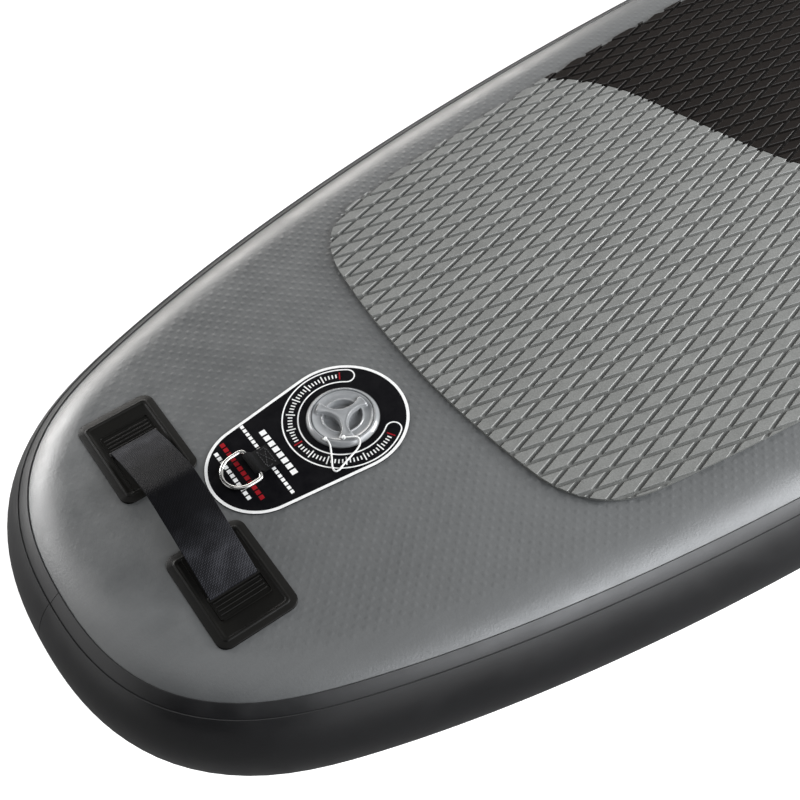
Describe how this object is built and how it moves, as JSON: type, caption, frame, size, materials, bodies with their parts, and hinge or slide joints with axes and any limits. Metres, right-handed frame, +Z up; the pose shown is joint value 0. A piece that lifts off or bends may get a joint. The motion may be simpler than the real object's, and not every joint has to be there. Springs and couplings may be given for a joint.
{
  "type": "inflatable stand-up paddle board",
  "caption": "Inflatable paddle board with rounded rails, grooved deck pad, air valve, webbing handles, bungee, leash ring and fins below.",
  "frame": {"origin": "under the middle of the board's length and width, level with the tip of the centre fin", "axes": "+X from the tail to the nose, +Y to port, +Z up from the hull to the deck"},
  "size_m": [3.2, 0.8162, 0.548],
  "materials": {
    "pvc_grey": "satin coated fabric",
    "pvc_black": "satin coated fabric",
    "foam_grey": "matt foam",
    "foam_black": "matt foam",
    "moulded_black": "matt moulded",
    "webbing": "woven",
    "valve_plastic": "satin moulded",
    "steel": "polished",
    "brass": "plain",
    "rubber": "matt",
    "cord_white": "braided",
    "yarn": "twisted",
    "black_plastic": "satin moulded"
  },
  "bodies": {
    "board": {"bungee_cord": "rubber", "bungee_patch_front_port": "pvc_black", "bungee_patch_front_starboard": "pvc_black", "bungee_patch_rear_port": "pvc_black", "bungee_patch_rear_starboard": "pvc_black", "bungee_ring_front_port": "steel", "bungee_ring_front_starboard": "steel", "bungee_ring_loop_front_port": "webbing", "bungee_ring_loop_front_starboard": "webbing", "bungee_ring_loop_rear_port": "webbing", "bungee_ring_loop_rear_starboard": "webbing", "bungee_ring_rear_port": "steel", "bungee_ring_rear_starboard": "steel", "cap_tether": "cord_white", "centre_handle_grip": "rubber", "centre_handle_patch_front": "moulded_black", "centre_handle_patch_rear": "moulded_black", "centre_handle_strap": "webbing", "deck_skin": "pvc_grey", "drop_stitch_yarn_port_inner": "yarn", "drop_stitch_yarn_port_outer": "yarn", "drop_stitch_yarn_starboard_inner": "yarn", "drop_stitch_yarn_starboard_outer": "yarn", "fin_box": "black_plastic", "hull_skin": "pvc_grey", "inner_rail_strip": "pvc_black", "label_plate": "black_plastic", "leash_ring_loop": "webbing", "nose_handle_plate_port": "moulded_black", "nose_handle_plate_starboard": "moulded_black", "nose_handle_strap": "webbing", "rail_band_port": "pvc_black", "rail_band_starboard": "pvc_black", "rail_guard_strip_port": "pvc_black", "rail_guard_strip_starboard": "pvc_black", "side_fin_port": "black_plastic", "side_fin_starboard": "black_plastic", "tail_handle_plate_port": "moulded_black", "tail_handle_plate_starboard": "moulded_black", "tail_handle_strap": "webbing", "tow_ring_loop": "webbing", "tow_ring_patch": "pvc_black", "traction_pad_front": "foam_black", "traction_pad_rear": "foam_grey", "valve_base_nut": "black_plastic", "valve_body": "valve_plastic", "valve_gasket": "rubber", "valve_spring": "steel"},
    "cap_seal_ring": {"valve_cap_seal": "rubber"},
    "cap": {"valve_cap": "valve_plastic"},
    "poppet": {"valve_poppet": "rubber"},
    "pin": {"valve_pin": "valve_plastic", "valve_poppet_nut": "valve_plastic"},
    "leash_ring": {"leash_ring": "steel"},
    "tow_ring": {"tow_ring": "steel"},
    "fin": {"centre_fin": "black_plastic", "fin_nut_plate": "brass", "fin_roller_pin": "brass"},
    "washer": {"fin_washer": "steel"},
    "thumb_screw": {"fin_screw": "black_plastic"}
  },
  "joints": [
    {"name": "valve_cap_rise", "type": "slide", "parent": "board", "child": "cap_seal_ring", "axis": [0, 0, 1], "range_m": [0, 0.001]},
    {"name": "valve_cap_turn", "type": "hinge", "parent": "cap_seal_ring", "child": "cap", "pos_m": [-1.2586, 0, 0.38], "axis": [0, 0, 1], "range_deg": [0, 90]},
    {"name": "valve_pin_push", "type": "slide", "parent": "board", "child": "poppet", "axis": [0, 0, -1], "range_m": [0, 0.005], "stiffness_N_per_m": 400, "springref_m": -0.005, "deforming": ["valve_spring"]},
    {"name": "valve_pin_turn", "type": "hinge", "parent": "poppet", "child": "pin", "pos_m": [-1.2586, 0, 0.38], "axis": [0, 0, -1], "range_deg": [0, 90]},
    {"name": "leash_ring_flip", "type": "hinge", "parent": "board", "child": "leash_ring", "pos_m": [-1.3585, 0.0035, 0.3851], "axis": [0, 1, 0], "range_deg": [0, 160]},
    {"name": "tow_ring_flip", "type": "hinge", "parent": "board", "child": "tow_ring", "pos_m": [1.43364, 0, 0.53037], "axis": [0, 1, 0], "range_deg": [0, 160]},
    {"name": "fin_slide", "type": "slide", "parent": "board", "child": "fin", "axis": [1, 0, 0], "range_m": [-0.03, 0.03]},
    {"name": "fin_screw_rise", "type": "slide", "parent": "fin", "child": "washer", "axis": [0, 0, -1], "range_m": [0, 0.0021]},
    {"name": "fin_screw_turn", "type": "hinge", "parent": "washer", "child": "thumb_screw", "pos_m": [-1.18, 0, 0.2037], "axis": [0, 0, -1], "range_deg": [0, 1080]}
  ],
  "couplings": [
    {"joint": "valve_cap_turn", "follows": "valve_cap_rise", "rad_per_m": 1570.8},
    {"joint": "fin_screw_turn", "follows": "fin_screw_rise", "rad_per_m": 8976}
  ]
}
